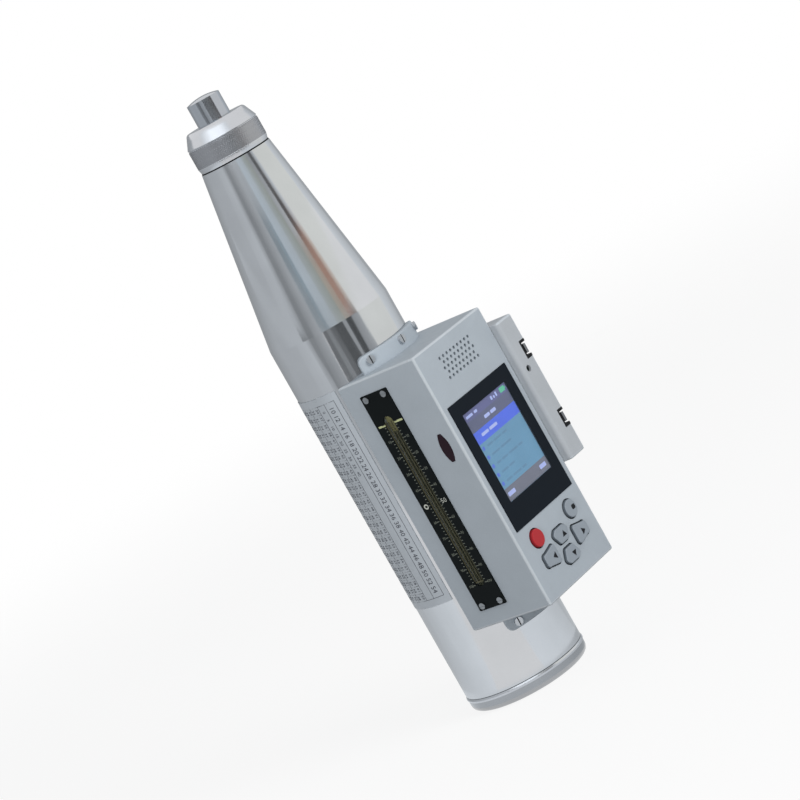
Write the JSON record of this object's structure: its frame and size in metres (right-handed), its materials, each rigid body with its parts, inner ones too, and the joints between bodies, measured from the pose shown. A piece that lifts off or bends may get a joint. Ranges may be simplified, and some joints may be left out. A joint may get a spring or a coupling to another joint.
{
  "type": "concrete test hammer",
  "caption": "Spring-driven rebound hammer for testing concrete: polished tube with tapered nose and impact plunger, and a side case with scale, screen, keys and a plug-in module.",
  "frame": {"origin": "centre of the rear cap's flat face, on the hammer's axis", "axes": "+Z along the axis from the rear cap to the plunger's tip, +X out of the screen face, -Y out of the scale face"},
  "size_m": [0.0828, 0.0636, 0.2761],
  "materials": {
    "polished_aluminium": "turned and polished, clear anodised",
    "bright_steel": "bright turned steel",
    "hard_steel": "hardened and ground steel",
    "spring_steel": "drawn spring wire",
    "spring_brass": "rolled spring strip",
    "felt": "oiled grey felt",
    "silver_plastic": "silver-grey satin moulding",
    "black_plate": "satin black with pale printed marks",
    "clear_window": "clear strip",
    "rider_plastic": "olive moulded slider",
    "board": "green solder mask",
    "infrared_plastic": "dark red infrared filter",
    "bezel_plastic": "dark blue-black sheet",
    "screen_glass": "flat clear window",
    "screen_panel": "lit colour screen",
    "battery_wrap": "blue shrink wrap",
    "speaker_black": "black moulding",
    "key_rubber": "dark silicone mat",
    "red_plastic": "red moulding",
    "key_grey": "grey moulding",
    "socket_black": "black moulding",
    "lamp_green": "tinted lamp body",
    "label_white": "printed self-adhesive film"
  },
  "bodies": {
    "housing": {"housing_tube": "polished_aluminium", "nose_cap": "bright_steel", "felt_seal": "felt", "split_ring": "bright_steel", "guide_sleeve": "bright_steel", "impact_spring": "spring_steel", "compression_spring": "spring_steel", "rear_cap": "polished_aluminium", "trip_screw": "bright_steel", "trip_lock_nut": "bright_steel", "button_bush": "bright_steel", "button_spring": "spring_steel", "case_shell": "silver_plastic", "lug_screws": "bright_steel", "front_panel": "silver_plastic", "scale_plate": "black_plate", "scale_window": "clear_window", "scale_screws": "bright_steel", "rider_rod": "bright_steel", "sensor_board": "board", "infrared_window": "infrared_plastic", "display_bezel": "bezel_plastic", "display_lens": "screen_glass", "display_module": "screen_panel", "main_board": "board", "battery_pack": "battery_wrap", "speaker": "speaker_black", "key_mat": "key_rubber", "side_housing": "silver_plastic", "side_board": "board", "side_screws": "bright_steel", "data_socket": "socket_black", "charge_socket": "socket_black", "socket_contacts": "bright_steel", "status_lamp": "lamp_green", "table_label": "label_white"},
    "carriage": {"impact_plunger": "hard_steel", "buffer_spring": "spring_steel", "guide_bar": "hard_steel", "bar_nut": "bright_steel", "guide_disk": "hard_steel", "pawl_pin": "bright_steel", "pawl_spring": "spring_brass"},
    "pawl": {"pawl": "hard_steel"},
    "hammer": {"hammer_mass": "hard_steel"},
    "rider": {"rider": "rider_plastic"},
    "lock_button": {"lock_button": "red_plastic"},
    "red_key": {"red_key": "red_plastic"},
    "round_key": {"round_key": "key_grey"},
    "up_key": {"up_key": "key_grey"},
    "down_key": {"down_key": "key_grey"},
    "left_key": {"left_key": "key_grey"},
    "right_key": {"right_key": "key_grey"}
  },
  "joints": [
    {"name": "plunger_slide", "type": "slide", "parent": "housing", "child": "carriage", "axis": [0, 0, 1], "range_m": [0, 0.075], "deforming": ["compression_spring"]},
    {"name": "pawl_hinge", "type": "hinge", "parent": "carriage", "child": "pawl", "pos_m": [0.016, 0, 0.028], "axis": [0, -1, 0], "range_deg": [0, 12]},
    {"name": "hammer_slide", "type": "slide", "parent": "housing", "child": "hammer", "axis": [0, 0, 1], "range_m": [-0.075, 0], "stiffness_N_per_m": 785, "springref_m": 0.004, "deforming": ["impact_spring"]},
    {"name": "rider_slide", "type": "slide", "parent": "housing", "child": "rider", "axis": [0, 0, 1], "range_m": [-0.075, 0]},
    {"name": "button_press", "type": "slide", "parent": "housing", "child": "lock_button", "axis": [0, -1, 0], "range_m": [0, 0.0025], "stiffness_N_per_m": 400, "deforming": ["button_spring"]},
    {"name": "red_press", "type": "slide", "parent": "housing", "child": "red_key", "axis": [-1, 0, 0], "range_m": [0, 0.0008], "stiffness_N_per_m": 300},
    {"name": "round_press", "type": "slide", "parent": "housing", "child": "round_key", "axis": [-1, 0, 0], "range_m": [0, 0.0008], "stiffness_N_per_m": 300},
    {"name": "up_press", "type": "slide", "parent": "housing", "child": "up_key", "axis": [-1, 0, 0], "range_m": [0, 0.0008], "stiffness_N_per_m": 300},
    {"name": "down_press", "type": "slide", "parent": "housing", "child": "down_key", "axis": [-1, 0, 0], "range_m": [0, 0.0008], "stiffness_N_per_m": 300},
    {"name": "left_press", "type": "slide", "parent": "housing", "child": "left_key", "axis": [-1, 0, 0], "range_m": [0, 0.0008], "stiffness_N_per_m": 300},
    {"name": "right_press", "type": "slide", "parent": "housing", "child": "right_key", "axis": [-1, 0, 0], "range_m": [0, 0.0008], "stiffness_N_per_m": 300}
  ]
}
